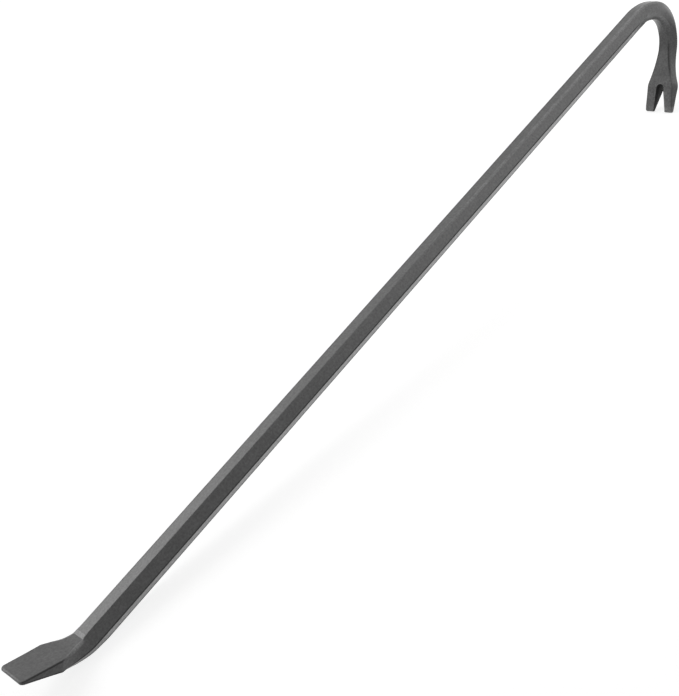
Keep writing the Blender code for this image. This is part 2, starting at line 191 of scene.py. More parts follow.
class ClawSizes(bpy.types.PropertyGroup):
    """The forked nail claw and its slot."""
    length: length("Length", "Tips to the shoulders", 28.5)
    shoulder_width: length("Shoulder width", "Over the widest line of the sides", 35.8)
    shoulder_round: length("Shoulder round", "Reach of the rounded shoulders", 3.5)
    face_width: length("Face width", "Inner face at the shoulders", 27.7)
    back_width: length("Back width", "Outer face at the shoulders", 26.4)
    face_depth: length("Face depth", "Inner face from the centreline", 6.5)
    back_height: length("Back height", "Outer face from the centreline", 5.9)
    tip_width: length("Tip width", "Width over both tips", 32.2)
    tip_thickness: length("Tip thickness", "Thickness of the tips", 3.3)
    tip_corner: length("Tip corner", "Radius of the outer corners", 1.8)
    bevel_length: length("Bevel length", "Steeper last stretch of the inner face", 5.5)
    bevel_depth: length("Bevel depth", "How far that stretch stands proud at its start", 0.7)
    flare: length("Flare", "Shoulders to where the hexagon starts", 40.1)
    side_spread: amount("Side spread", "How late the sides flare", 2.60)
    face_spread: amount("Face spread", "How late the two faces flare", 1.62)
    seat_mouth: length("Seat mouth", "Slot's wide half across the tips, at the ledge", 12.5)
    seat_depth: length("Seat depth", "Tips to the far side of the seat's round end", 28.0)
    seat_end: length("Seat end radius", "Round end of the seat, at the ledge", 3.4)
    seat_draft: amount("Seat draft", "Lean of the seat's walls per depth", 0.17)
    throat_mouth: length("Throat mouth", "Slot's V half across the tips", 12.3)
    throat_depth: length("Throat depth", "Tips to the end of the V", 23.6)
    throat_end: length("Throat end radius", "Round end of the V", 1.3)
    ledge_depth: length("Ledge depth", "Ledge from the centreline", 1.0)
    ledge_fall: length("Ledge fall", "Slope of the ledge across its width", 0.5)
    mouth_round: length("Mouth round", "Rounded inner corners of the tips", 1.4)
    rim_round: length("Rim round", "Rounded rim of the slot in the outer face", 0.5)
    seat_rim: length("Seat rim", "Rounded rim of the slot in the inner face", 0.8)


class PaintLook(bpy.types.PropertyGroup):
    """The finish."""
    grey: colour("Paint", "Grey of the paint", (0.09, 0.09, 0.09))
    # The scale colour is also the painted shade in the nail slot and along the edges
    scale: colour("Scale", "Dark forging scale, in the slot and where edges are worn",
                  (0.02, 0.02, 0.02))
    # The rubbed colour is also the painted highlights and the painted reflection of the floor
    rubbed: colour("Rubbed paint", "Paler paint where work rubs it, as at the tips",
                   (0.33, 0.33, 0.33))
    roughness: amount("Roughness", "Roughness of the paint", 0.34)
    speckle: amount("Speckle", "How strongly the paint is speckled", 1.8)
    grain: length("Grain", "Height of the paint's grain", 0.2)
    # Painted shade and painted highlights: the middle, lower, upper +Y and leg edges and the
    # crook's sides are darkened as painted shade; the upper -Y edge and the edges inside the crook
    # are made paler as painted highlights
    painted_shade_middle: amount("Worn middle edges", "Scale that shows on the shank's middle edges", 1.0)
    painted_shade_lower: amount("Worn lower edges", "Scale that shows on the shank's lower edges", 1.0)
    painted_shade_crook: amount("Worn crook", "Scale that shows on the crook's sides", 0.6)
    painted_shade_top: amount("Worn top edge", "Scale that shows on the shank's upper +Y edge", 0.5)
    painted_highlight_top: amount("Rubbed top edge", "How far its upper -Y edge is rubbed", 0.22)
    painted_highlight_crook: amount("Rubbed crook", "How far the edges inside the crook are rubbed", 0.28)
    painted_shade_leg: amount("Worn leg edges", "Scale that shows on the leg's inner edges", 0.75)
    worn_claw: amount("Worn claw edges", "Scale that shows on the claw's edges", 0.4)
    worn_face: amount("Worn face", "Scale that shows through on the blade's face", 0.2)
    # More painted light: the blade's edges are darkened as painted shade; the neck's upper edges
    # and the step are made paler as painted highlights; the lower side flats are made paler as a
    # painted reflection of the floor
    painted_shade_blade: amount("Worn blade edges", "Scale that shows on the blade's edges", 1.0)
    painted_highlight_neck: amount("Rubbed neck", "How far the neck's upper edges are rubbed", 0.24)
    painted_highlight_step: amount("Rubbed step", "How far the step below the upper flat is rubbed", 0.62)
    painted_reflection_low: amount("Rubbed lower flats", "How far the lower side flats are rubbed", 1.0)
    rubbed_claw: amount("Rubbed claw", "How far the claw's inner face is rubbed", 0.14)
    rubbed_tips: length("Rubbed tips", "How far from the claw's tips the paint is rubbed", 7.0)
    rubbed_edge: length("Rubbed edge", "How far from the blade's edge the paint is rubbed", 1.2)


class StudioLook(bpy.types.PropertyGroup):
    """The floor and the lamps."""
    floor: colour("Floor", "Colour of the floor", (0.86, 0.86, 0.86))
    glow: amount("Floor glow", "White that the camera and mirrors see in the floor", 0.83)
    glow_start: length("Glow start", "Distance at which the floor begins to turn white", 550.0)
    glow_run: length("Glow run", "Distance over which it turns white", 500.0)
    shadow: amount("Floor shadow", "How much of the lamps' light and shade they see on it", 0.42)
    key: amount("Key lamp", "Power of the low lamp behind the blade, in watts", 5.1)
    back: amount("Back lamp", "Power of the lamp behind the bar's middle, in watts", 6.0)
    top: amount("Top lamp", "Power of the high lamp, in watts", 4.6)
    side: amount("Side lamp", "Power of the lamp beyond the hook, in watts", 5.4)
    fill: amount("Fill lamp", "Power of the lamp in front of the hook, in watts", 3.8)
    front: amount("Front lamp", "Power of the lamp in front, in watts", 1.75)


class Value:
    """A socket in a shader tree. Arithmetic on it adds Math nodes."""

    def __init__(self, tree, socket):
        self.tree = tree
        self.socket = socket

    def math(self, operation, *others):
        """Add a Math node that takes this value and the others."""
        node = self.tree.nodes.new("ShaderNodeMath")
        node.operation = operation
        for index, item in enumerate((self,) + others):
            feed(self.tree, node.inputs[index], item)
        return Value(self.tree, node.outputs[0])

    def __add__(self, other):
        return self.math('ADD', other)

    def __radd__(self, other):
        return self.math('ADD', other)

    def __mul__(self, other):
        return self.math('MULTIPLY', other)

    def __rmul__(self, other):
        return self.math('MULTIPLY', other)

    def __sub__(self, other):
        return self.math('SUBTRACT', other)

    def __rsub__(self, other):
        return self.math('MULTIPLY_ADD', -1.0, other)

    def clamped(self):
        """The value, kept between 0 and 1."""
        return self.math('MINIMUM', 1.0).math('MAXIMUM', 0.0)


def feed(tree, socket, item):
    """Link a Value to a socket, or set the socket to a plain value."""
    if isinstance(item, Value):
        tree.links.new(item.socket, socket)
    else:
        socket.default_value = item


class Shader:
    """The node tree of a material or of the room, with one method that adds any node."""

    def __init__(self, owner):
        owner.use_nodes = True
        self.owner = owner
        self.tree = owner.node_tree
        self.tree.nodes.clear()

    def node(self, kind, output=0, settings=None, **inputs):
        """Add a node and give one of its outputs. settings are set first. inputs name its
        sockets, with spaces written as underscores."""
        node = self.tree.nodes.new("ShaderNode" + kind)
        for name, value in (settings or {}).items():
            setattr(node, name, value)
        for name, item in inputs.items():
            feed(self.tree, find_input(node, name), item)
        return Value(self.tree, node.outputs[output])

    def mix_colour(self, factor, first, second):
        """Colour between two colours."""
        return self.node("Mix", output=2, settings={"data_type": 'RGBA'},
                         Factor=factor, A=first, B=second)

    def attribute(self, name):
        """A number that the mesh holds at each corner of its faces."""
        return self.node("Attribute", output=2, settings={"attribute_name": name})

    def looked_at(self):
        """1 on camera, mirror and clear rays, and 0 on the rays that carry light."""
        camera, mirror, clear = (self.node("LightPath", output=index) for index in (0, 3, 6))
        return (camera + mirror + clear).clamped()

    def finish(self, kind, surface):
        """Lead the surface to the tree's output, and give the material or the room."""
        output = self.tree.nodes.new("ShaderNode" + kind)
        self.tree.links.new(surface.socket, output.inputs["Surface"])
        return self.owner


def find_input(node, name):
    """A node's enabled input by name, or by number as in _1."""
    if name.startswith("_"):
        return node.inputs[int(name[1:])]
    wanted = name.replace("_", " ")
    return next(socket for socket in node.inputs if socket.name == wanted and socket.enabled)


def opaque(value):
    """A colour with full alpha."""
    return (*value, 1.0)


def grey_paint(look):
    """Low-gloss grey paint, speckled and grainy, darkened to scale colour where it is worn and
    where shade is painted, and paler where it is rubbed and where highlights and reflections are
    painted.
    """
    shader = Shader(bpy.data.materials.new("grey_paint"))
    place = shader.node("TexCoord", output=3)
    grain, speckle, peel, cloud = (
        shader.node("TexNoise", Vector=place, Scale=scale, Detail=detail, Roughness=roughness)
        for scale, detail, roughness in PAINT_NOISES)
    # The first attribute holds wear and painted shade, the second rubbed paint and painted
    # highlights and reflections
    worn, rubbed = shader.attribute("worn"), shader.attribute("rubbed")
    patchy = (rubbed * (PATCH_LEAST + cloud * PATCH_GAIN)).clamped()
    clouds = look.speckle * CLOUD_SPECKLE
    shade = (1.0 + (speckle - 0.5) * look.speckle) * (1.0 + (cloud - 0.5) * clouds)
    paler = shader.mix_colour(patchy, opaque(look.grey), opaque(look.rubbed))
    base = shader.mix_colour(worn, paler, opaque(look.scale))
    tinted = shader.node("VectorMath", settings={"operation": 'SCALE'}, _0=base, _3=shade)
    height = grain * (1.0 - PEEL_SHARE) + peel * PEEL_SHARE
    bump = shader.node("Bump", Height=height, Distance=look.grain, Strength=BUMP_STRENGTH)
    rough = look.roughness + (cloud - 0.5) * CLOUD_ROUGHNESS + worn * SCALE_ROUGHNESS
    return shader.finish("OutputMaterial", shader.node(
        "BsdfPrincipled", Base_Color=tinted, Roughness=rough, Normal=bump))


def floor_paper(look):
    """Matt pale paper. Camera, mirror and clear rays see it nearly white near the bar, with a
    faint shadow, and white farther off."""
    shader = Shader(bpy.data.materials.new("floor_paper"))
    lit = shader.node("BsdfDiffuse", Color=opaque(look.floor))
    faint = shader.node("BsdfDiffuse", Color=opaque([look.shadow * part for part in look.floor]))
    place = shader.node("TexCoord", output=3)
    off = shader.node("VectorMath", output=1, settings={"operation": 'LENGTH'}, _0=place)
    far = ((off - look.glow_start) * (1.0 / look.glow_run)).clamped()
    glow_colour = shader.mix_colour(far, opaque([look.glow] * 3), opaque(WHITE))
    glow = shader.node("Emission", Color=glow_colour, Strength=1.0)
    pale = shader.node("AddShader", _0=faint, _1=glow)
    return shader.finish("OutputMaterial", shader.node(
        "MixShader", _0=shader.looked_at(), _1=lit, _2=pale))


class Centreline:
    """The bar's centreline in its own plane: blade tip at the start, shank along +X."""

    def __init__(self, stock):
        self.heading = -stock.heel_angle
        self.stretches = (
            (stock.blade_straight, 0.0),
            (stock.heel_radius * stock.heel_angle, stock.heel_angle),
            (stock.shank, 0.0),
            (stock.entry_radius * stock.entry_angle, -stock.entry_angle),
            (stock.hook_radius * stock.hook_angle, -stock.hook_angle),
            (stock.claw_straight, 0.0),
        )
        self.length = sum(run for run, _ in self.stretches)
        self.shank_start = stock.blade_straight + stock.heel_radius * stock.heel_angle
        self.shank_end = self.shank_start + stock.shank
        self.crook_start = self.shank_end + stock.entry_radius * stock.entry_angle
        self.crook_end = self.length - stock.claw_straight

    def at(self, distance):
        """Point and heading at a distance from the blade's tip."""
        x, z, heading = 0.0, 0.0, self.heading
        for run, turn in self.stretches:
            step = min(distance, run)
            if turn:
                radius = run / turn
                bend = turn * step / run
                x += radius * (math.sin(heading + bend) - math.sin(heading))
                z -= radius * (math.cos(heading + bend) - math.cos(heading))
                heading += bend
            else:
                x += step * math.cos(heading)
                z += step * math.sin(heading)
            distance -= step
            if distance <= 0.0:
                break
        return Vector((x, 0.0, z)), heading

    def beside(self, distance, across, up):
        """Point across the bar and up from the centreline, in the plane of the bends."""
        point, heading = self.at(distance)
        return point + Vector((-math.sin(heading) * up, across, math.cos(heading) * up))


def blend(first, second, share):
    return first + (second - first) * share


def blend_all(first, second, shares):
    return [blend(a, b, share) for a, b, share in zip(first, second, shares)]


class Sections:
    """Six-sided sections of the bar: three half-widths, then three heights, each for the
    top, the waist and the underside."""

    def __init__(self, sizes, line):
        self.stock = sizes.stock
        self.blade = sizes.blade
        self.claw = sizes.claw
        self.line = line
        corner = self.stock.flats / math.sqrt(3.0)
        half = self.stock.flats / 2.0
        self.hexagon = (corner / 2.0, corner, corner / 2.0, half, 0.0, -half)

    def at(self, distance):
        """Section at a distance from the blade's tip."""
        if distance < max(self.blade.length + self.blade.keel, self.line.shank_start):
            return self.blade_end(distance)
        remaining = self.line.length - distance
        if remaining < self.claw.length + self.claw.flare:
            return self.claw_end(remaining)
        return list(self.hexagon)

    def edge_radii(self, distance):
        """Radii of the top, waist and underside edges of the section at a distance."""
        stock, blade, line = self.stock, self.blade, self.line
        along = min(max((distance - line.shank_start) / stock.shank, 0.0), 1.0)
        top = blend(stock.edge_radius, stock.hook_edge_radius, along)
        waist = under = stock.waist_radius
        bend = (distance - line.shank_end) / (line.crook_end - stock.leg_edge_lead - line.shank_end)
        if bend > 0.0:
            leg = ease(min(bend, 1.0))
            crook = ease(min(CROOK_RISE * swell(bend), 1.0))
            top = blend(blend(top, stock.leg_edge_radius, leg), stock.crook_edge_radius, crook)
            waist = blend(blend(waist, stock.leg_edge_radius, leg), stock.crook_waist_radius, crook)
            under = blend(blend(under, stock.leg_edge_radius, leg), stock.crook_waist_radius, crook)
        top = blend(top, blade.neck_round, swell((distance - blade.length) / blade.neck))
        return top, waist, under

    def face_height(self, distance):
        """Height of the upper face: flat from the tip, flat again in the saddle of the heel,
        then up a short step to the upper flat."""
        blade, line, half = self.blade, self.line, self.stock.flats / 2.0
        point, heading = line.at(distance)
        normal = Vector((-math.sin(heading), 0.0, math.cos(heading)))
        step_end = blade.length + blade.crease
        tip = line.beside(0.0, 0.0, blade.tip_thickness / 2.0)
        shoulder = line.beside(blade.length, 0.0, blade.face_height)
        foot = line.beside(step_end - blade.step_length, 0.0, half - blade.step_height)
        head = line.beside(step_end, 0.0, half)
        fall = Vector((math.cos(blade.saddle_fall), 0.0, -math.sin(blade.saddle_fall)))
        face = height_on(tip, shoulder - tip, point, normal)
        saddle = height_on(foot, fall, point, normal)
        step = height_on(foot, head - foot, point, normal)
        return min(max(soft_maximum(face, saddle, blade.saddle_round), step), half)

    def blade_end(self, distance):
        blade = self.blade
        shoulder = (blade.face_width / 2.0, blade.shoulder_width / 2.0, blade.under_width / 2.0,
                    blade.face_height, -blade.waist_depth, -blade.under_depth)
        if distance >= blade.length:
            past = distance - blade.length
            face = 1.0 - (1.0 - min(past / blade.neck, 1.0)) ** blade.face_spread
            side = 1.0 - (1.0 - min(past / blade.side, 1.0)) ** blade.side_spread
            under = 1.0 - (1.0 - min(past / blade.neck, 1.0)) ** blade.under_spread
            fall = ease(min(past / blade.keel, 1.0))
            section = blend_all(shoulder, self.hexagon, (face, side, under, face, side, fall))
            lift = blade.heel_lift * swell(past / blade.side)
            section[3:] = (self.face_height(distance), section[4] + lift, section[5] + lift)
            return section
        tip = tip_section(blade.tip_width, blade.tip_thickness)
        section = blend_all(tip, shoulder, [distance / blade.length] * 6)
        return rounded_tip(section, distance, blade.tip_corner, blade.tip_thickness)

    def claw_end(self, distance):
        """Section at a distance from the claw's tips, rounded over at the shoulders."""
        claw = self.claw
        share = 0.5 + 0.5 * (distance - claw.length) / claw.shoulder_round
        if not 0.0 < share < 1.0:
            return self.claw_stretch(distance)
        before = self.claw_stretch(claw.length - claw.shoulder_round)
        shoulder = self.claw_stretch(claw.length)
        after = self.claw_stretch(claw.length + claw.shoulder_round)
        shares = [share] * 6
        return blend_all(blend_all(before, shoulder, shares),
                         blend_all(shoulder, after, shares), shares)

    def claw_stretch(self, distance):
        """Section before or after the shoulders."""
        claw = self.claw
        shoulder = (claw.back_width / 2.0, claw.shoulder_width / 2.0, claw.face_width / 2.0,
                    claw.back_height, 0.0, -claw.face_depth)
        if distance >= claw.length:
            share = max((claw.length + claw.flare - distance) / claw.flare, 0.0)
            face = share ** claw.face_spread
            side = share ** claw.side_spread
            return blend_all(self.hexagon, shoulder, (face, side, face, share, share, share))
        tip = tip_section(claw.tip_width, claw.tip_thickness)
        section = blend_all(tip, shoulder, [distance / claw.length] * 6)
        section[5] -= claw.bevel_depth * min(distance / claw.bevel_length, 1.0)
        section[5] += claw.bevel_depth * max(distance - claw.bevel_length, 0.0) / (
            claw.length - claw.bevel_length)
        return rounded_tip(section, distance, claw.tip_corner, claw.tip_thickness)


def ease(share):
    """Smooth step from 0 to 1."""
    return share * share * (3.0 - 2.0 * share)


def swell(share):
    """Smooth rise and fall between 0 and 1."""
    return math.sin(math.pi * share) ** 2 if 0.0 < share < 1.0 else 0.0


def height_on(start, direction, point, normal):
    """Distance from a point along a normal to a straight line."""
    away = Vector((-direction.z, 0.0, direction.x))
    return (start - point).dot(away) / normal.dot(away)


def soft_maximum(first, second, reach):
    """The larger of two values, rounded where they differ by less than reach."""
    near = max(reach - abs(first - second), 0.0) / reach
    return max(first, second) + near * near * reach / 4.0


def tip_section(width, thickness):
    half = thickness / 2.0
    face = width / 2.0 - half / 2.0
    return (face, width / 2.0, face, half, 0.0, -half)


def quarter_round(distance, radius):
    """How far a quarter-round edge falls back at a distance from its end."""
    if distance >= radius:
        return 0.0
    return radius - math.sqrt(radius ** 2 - (radius - distance) ** 2)


def rounded_tip(section, distance, corner, thickness):
    """Round a tip's corners in plan and its edges in thickness."""
    inset = quarter_round(distance, corner)
    thin = quarter_round(distance, TIP_ROUND * thickness)
    widths = [width - inset for width in section[:3]]
    return widths + [section[3] - thin, section[4], section[5] + thin]


def rounded_outline(section, radii):
    """Points (across, up) of a section with a short arc at each corner, each with the number
    of the corner at or before it and whether it lies on that corner's arc."""
    top_radius, waist_radius, under_radius = radii
    corner_radii = (top_radius, top_radius, waist_radius, under_radius, under_radius, waist_radius)
    top_width, waist_width, under_width, top, waist, under = section
    corners = [Vector(point) for point in (
        (top_width, top), (-top_width, top), (-waist_width, waist),
        (-under_width, under), (under_width, under), (waist_width, waist))]
    arcs = [corner_arc(corners[index - 1], corner, corners[(index + 1) % 6], corner_radii[index])
            for index, corner in enumerate(corners)]
    outline = []
    for index, arc in enumerate(arcs):
        outline += [(point, index, True) for point in arc]
        following = arcs[(index + 1) % 6][0]
        run = (following - arc[-1]).length
        first, last = (min(flat_margin(index, corner) / run, MARGIN_SHARE)
                       for corner in (index, index + 1))
        for share in (first, 0.5, 1.0 - last):
            outline.append((arc[-1].lerp(following, share), index, False))
    return outline


def flat_margin(flat, corner):
    """How far from a corner the flat's own paint starts."""
    return LOW_MARGIN if flat in LOW_FLATS and corner in UNDER_CORNERS else EDGE_MARGIN


def corner_arc(before, corner, after, radius):
    """Points along the rounded corner between two sides."""
    back = before - corner
    ahead = after - corner
    half_angle = back.angle(ahead) / 2.0
    reach = min(radius / math.tan(half_angle), CORNER_REACH * back.length,
                CORNER_REACH * ahead.length)
    fitted = reach * math.tan(half_angle)
    inward = (back.normalized() + ahead.normalized()).normalized()
    centre = corner + inward * (fitted / math.sin(half_angle))
    start = corner + back.normalized() * reach - centre
    end = corner + ahead.normalized() * reach - centre
    sweep = math.pi - 2.0 * half_angle
    points = []
    for step in range(CORNER_STEPS + 1):
        share = step / CORNER_STEPS
        turned = start * math.sin((1.0 - share) * sweep) + end * math.sin(share * sweep)
        points.append(centre + turned / math.sin(sweep))
    return points


def spread(start, end, step):
    """Even distances from start to end, about a step apart, with both ends."""
    count = max(1, math.ceil((end - start) / step))
    return [start + (end - start) * index / count for index in range(count + 1)]


def tip_distances(radius):
    """Distances from a tip that follow a quarter circle."""
    return [radius * (1.0 - math.cos(0.5 * math.pi * step / TIP_STEPS))
            for step in range(TIP_STEPS + 1)]


def stations(sizes, line):
    """Distances from the blade's tip at which the bar gets a section."""
    blade, claw = sizes.blade, sizes.claw
    distances = tip_distances(TIP_ROUND * blade.tip_thickness) + tip_distances(blade.tip_corner)
    distances += spread(0.0, blade.length, BLADE_STEP)
    distances += spread(blade.length, blade.length + blade.keel, FLARE_STEP)
    crease = blade.length + blade.crease
    for line_across in (crease - blade.step_length, crease):
        distances += [line_across - CREASE_STEP, line_across, line_across + CREASE_STEP]
    passed = 0.0
    for run, turn in line.stretches:
        step = run * BEND_STEP / abs(turn) if turn else SHANK_STEP
        distances += spread(passed, passed + run, step)
        passed += run
    from_claw = tip_distances(TIP_ROUND * claw.tip_thickness) + tip_distances(claw.tip_corner)
    from_claw += [claw.bevel_length - CREASE_STEP, claw.bevel_length + CREASE_STEP]
    from_claw += spread(0.0, claw.bevel_length, FLARE_STEP)
    from_claw += spread(claw.bevel_length, claw.length, FLARE_STEP)
    from_claw += spread(claw.length, claw.length + claw.flare, FLARE_STEP)
    distances += [line.length - distance for distance in from_claw]
    kept = []
    for distance in sorted(distances):
        if not kept or distance - kept[-1] > LEAST_STEP:
            kept.append(distance)
    return kept


def loft(rings, tones, name):
    """Closed mesh object through rings of points, with a pair for each point: its darkening by wear
    and painted shade, and its paling by rubbing and painted highlights.
    """
    mesh = bmesh.new()
    worn = mesh.loops.layers.float.new("worn")
    rubbed = mesh.loops.layers.float.new("rubbed")
    loops = [[mesh.verts.new(point) for point in ring] for ring in rings]
    pairs = {vertex: pair for loop, values in zip(loops, tones)
             for vertex, pair in zip(loop, values)}
    size = len(loops[0])
    for lower, upper in zip(loops, loops[1:]):
        for index in range(size):
            after = (index + 1) % size
            mesh.faces.new((lower[index], lower[after], upper[after], upper[index]))
    mesh.faces.new(loops[0])
    mesh.faces.new(reversed(loops[-1]))
    for face in mesh.faces:
        for corner in face.loops:
            corner[worn], corner[rubbed] = pairs[corner.vert]
    bmesh.ops.recalc_face_normals(mesh, faces=mesh.faces)
    data = bpy.data.meshes.new(name)
    mesh.to_mesh(data)
    mesh.free()
    piece = bpy.data.objects.new(name, data)
    bpy.context.collection.objects.link(piece)
    return piece


def slot_outline(mouth, depth, end_radius, mouth_round, grow=0.0):
    """Points (distance from the tips, across) of a tapered slot with a round end, its sides
    moved out by grow."""
    half_mouth = mouth / 2.0 + grow
    radius = end_radius + grow
    centre = depth - end_radius
    run = centre - mouth_round
    taper = math.acos(radius / math.hypot(run, half_mouth)) - math.atan2(run, half_mouth)
    side = [(-2.0 * mouth_round, half_mouth + mouth_round)]
    for step in range(TIP_STEPS + 1):
        turn = 0.5 * math.pi * step / TIP_STEPS
        side.append((mouth_round * (1.0 - math.cos(turn)),
                     half_mouth + mouth_round * (1.0 - math.sin(turn))))
    first = 0.5 * math.pi - taper
    end = []
    for step in range(SLOT_END_STEPS + 1):
        turn = first * (1.0 - 2.0 * step / SLOT_END_STEPS)
        end.append((centre + radius * math.cos(turn), radius * math.sin(turn)))
    other_side = [(distance, -across) for distance, across in reversed(side)]
    return side + end + other_side


def slot_cutter(sections, line):
    """Solid that leaves the nail slot: the seat, the ledge and the throat in one loft, with
    rims that are rounded where the slot meets the claw's two faces."""
    claw = sections.claw
    below = 2.0 * claw.face_depth
    inner_rim, outer_rim = claw.seat_rim, claw.rim_round

    def seat(grow):
        return slot_outline(claw.seat_mouth, claw.seat_depth, claw.seat_end, claw.mouth_round, grow)

    def throat(grow):
        return slot_outline(claw.throat_mouth, claw.throat_depth, claw.throat_end,
                            claw.mouth_round, grow)

    def level(height):
        return lambda distance: height

    def in_outer_face(depth):
        """Heights at a depth below the outer face, which falls towards the tips."""
        return lambda distance: sections.claw_end(max(distance, claw.tip_corner))[3] - depth

    def in_inner_face(depth):
        """Heights at a depth above the inner face, but never above the ledge."""
        return lambda distance: min(sections.claw_end(max(distance, claw.tip_corner))[5] + depth,
                                    -claw.ledge_depth - LEDGE_GAP)

    def on_walls(height, grow):
        """The seat's outline where its leaning walls reach a height, moved out by grow."""
        lean = claw.seat_draft * (below - claw.ledge_depth)
        points = []
        for (distance, side), (far_distance, far_side) in zip(seat(grow), seat(grow + lean)):
            share = (-height(distance) - claw.ledge_depth) / (below - claw.ledge_depth)
            points.append((blend(distance, far_distance, share), blend(side, far_side, share)))
        return points

    start = level(-below)
    # Each level carries a tone: the rims are made paler as a painted highlight, the walls and the
    # ledge darker as painted shade in the slot
    levels = [(start, on_walls(start, RIM_END * inner_rim), RIM_TONE)]
    for depth, reach in RIM_CURVE:
        height = in_inner_face(depth * inner_rim)
        levels.append((height, on_walls(height, reach * inner_rim),
                       RIM_TONE if reach else WALL_TONE))
    levels += [(level(-claw.ledge_depth), seat(0.0), LEDGE_TONE),
               (level(claw.ledge_fall - claw.ledge_depth), throat(0.0), LEDGE_TONE)]
    for depth, reach in reversed(RIM_CURVE):
        levels.append((in_outer_face(depth * outer_rim), throat(reach * outer_rim),
                       RIM_TONE if reach else WALL_TONE))
    levels.append((level(2.0 * claw.back_height), throat(RIM_END * outer_rim), RIM_TONE))
    tip, heading = line.at(line.length)
    inward = Vector((-math.cos(heading), 0.0, -math.sin(heading)))
    across = Vector((0.0, 1.0, 0.0))
    up = Vector((-math.sin(heading), 0.0, math.cos(heading)))
    rings = [[tip + inward * distance + across * side + up * height(distance)
              for distance, side in outline] for height, outline, _ in levels]
    tones = [[tone] * len(outline) for _, outline, tone in levels]
    cutter = loft(rings, tones, "nail_slot_cutter")
    cutter.hide_render = True
    cutter.display_type = 'WIRE'
    return cutter


def forged_ripple(point, distance, line, sizes):
    """Small unevenness that forging leaves, stronger at the two ends than on the shank."""
    from_ends = min(distance / (sizes.blade.length + sizes.blade.neck),
                    (line.length - distance) / (sizes.claw.length + sizes.claw.flare))
    height = blend(END_RIPPLE, SHANK_RIPPLE, min(from_ends / RIPPLE_RUN, 1.0))
    return noise.noise(point / RIPPLE_SPAN) * height


class Zone(NamedTuple):
    """Stretch of the bar where some edges and flats are darkened to scale or made paler, by wear
    and rubbing and as painted shade and painted highlights.
    """
    start: float
    end: float
    fade: float                     # length over which it fades out at each end
    edges: tuple = ()
    flats: tuple = ()
    worn: float = 0.0
    rubbed: float = 0.0


def paint_zones(sizes, line):
    """Where the paint is worn or rubbed and where shade and highlights are painted, from the blade
    to the claw.
    """
    blade, claw, paint = sizes.blade, sizes.claw, sizes.paint
    crease = blade.length + blade.crease
    step = crease - blade.step_length
    keel = blade.length + blade.keel
    neck = blade.length + blade.neck
    shoulder = blade.length + SOFT_FADE
    shank_middle = (line.shank_start + line.shank_end) / 2.0
    hook, leg, tips = line.shank_end, line.crook_end, line.length + SOFT_FADE
    crook_run = line.crook_end - line.crook_start
    shade_start, shade_fade = (share * crook_run for share in CROOK_SHADE)
    highlight_end, highlight_fade = (share * crook_run for share in CROOK_HIGHLIGHT)
    shade_start += line.crook_start
    highlight_end += line.crook_start
    claw_start = line.length - claw.length
    # Painted shade: the blade's edges, the middle and lower edges, the far upper edge, the crook's
    # sides and lower flats, and the leg's inner edges. Painted highlights: the neck's edges, the
    # step, the near upper edge and the edges inside the crook. Painted reflection of the floor: the
    # lower side flats. Wear: the blade's face, and the claw's inner face and edges
    return (
        Zone(-SOFT_FADE, shoulder, SOFT_FADE, edges=TOP_CORNERS + WAIST_CORNERS,
             worn=paint.painted_shade_blade),
        Zone(-SOFT_FADE, step, HARD_FADE, flats=TOP_FLAT, worn=paint.worn_face),
        Zone(blade.length, step, SOFT_FADE, edges=TOP_CORNERS, rubbed=paint.painted_highlight_neck),
        Zone(step, crease, HARD_FADE, flats=TOP_FLAT, rubbed=paint.painted_highlight_step),
        Zone(shoulder, hook, LONG_FADE, edges=WAIST_CORNERS, worn=paint.painted_shade_middle),
        Zone(shoulder, hook, LONG_FADE, edges=UNDER_CORNERS, worn=paint.painted_shade_lower),
        Zone(keel - LONG_FADE, hook, LONG_FADE, flats=LOW_FLATS, rubbed=paint.painted_reflection_low),
        Zone(neck, line.crook_start, LONG_FADE, edges=FAR_TOP, worn=paint.painted_shade_top),
        Zone(shank_middle, leg, SLOW_FADE, edges=NEAR_TOP, rubbed=paint.painted_highlight_top),
        Zone(shade_start, leg + SOFT_FADE, shade_fade, edges=TOP_CORNERS + WAIST_CORNERS,
             flats=UPPER_FLATS, worn=paint.painted_shade_crook),
        Zone(shade_start, leg + SOFT_FADE, shade_fade, flats=LOW_FLATS,
             worn=LOW_CROOK * paint.painted_shade_crook),
        Zone(line.crook_start - LONG_FADE, highlight_end, highlight_fade, edges=UNDER_CORNERS,
             rubbed=paint.painted_highlight_crook),
        Zone(leg - sizes.stock.leg_edge_lead - SOFT_FADE, claw_start - SOFT_FADE, LONG_FADE,
             edges=UNDER_CORNERS, worn=paint.painted_shade_leg),
        Zone(claw_start - LONG_FADE, tips, LONG_FADE, flats=UNDERSIDE, rubbed=paint.rubbed_claw),
        Zone(claw_start, tips, SOFT_FADE, edges=UNDER_CORNERS + WAIST_CORNERS,
             worn=paint.worn_claw),
    )


def paint_tones(zones, distance, corner, on_arc):
    """How far the paint at a point is darkened to scale by wear and painted shade, and how far it
    is made paler by rubbing and painted highlights.
    """
    worn, rubbed = 0.0, 0.0
    for zone in zones:
        if corner in (zone.edges if on_arc else zone.flats):
            inside = min(distance - zone.start, zone.end - distance)
            share = min(max(inside / zone.fade, 0.0), 1.0)
            worn = max(worn, zone.worn * share)
            rubbed = max(rubbed, zone.rubbed * share)
    return worn, rubbed


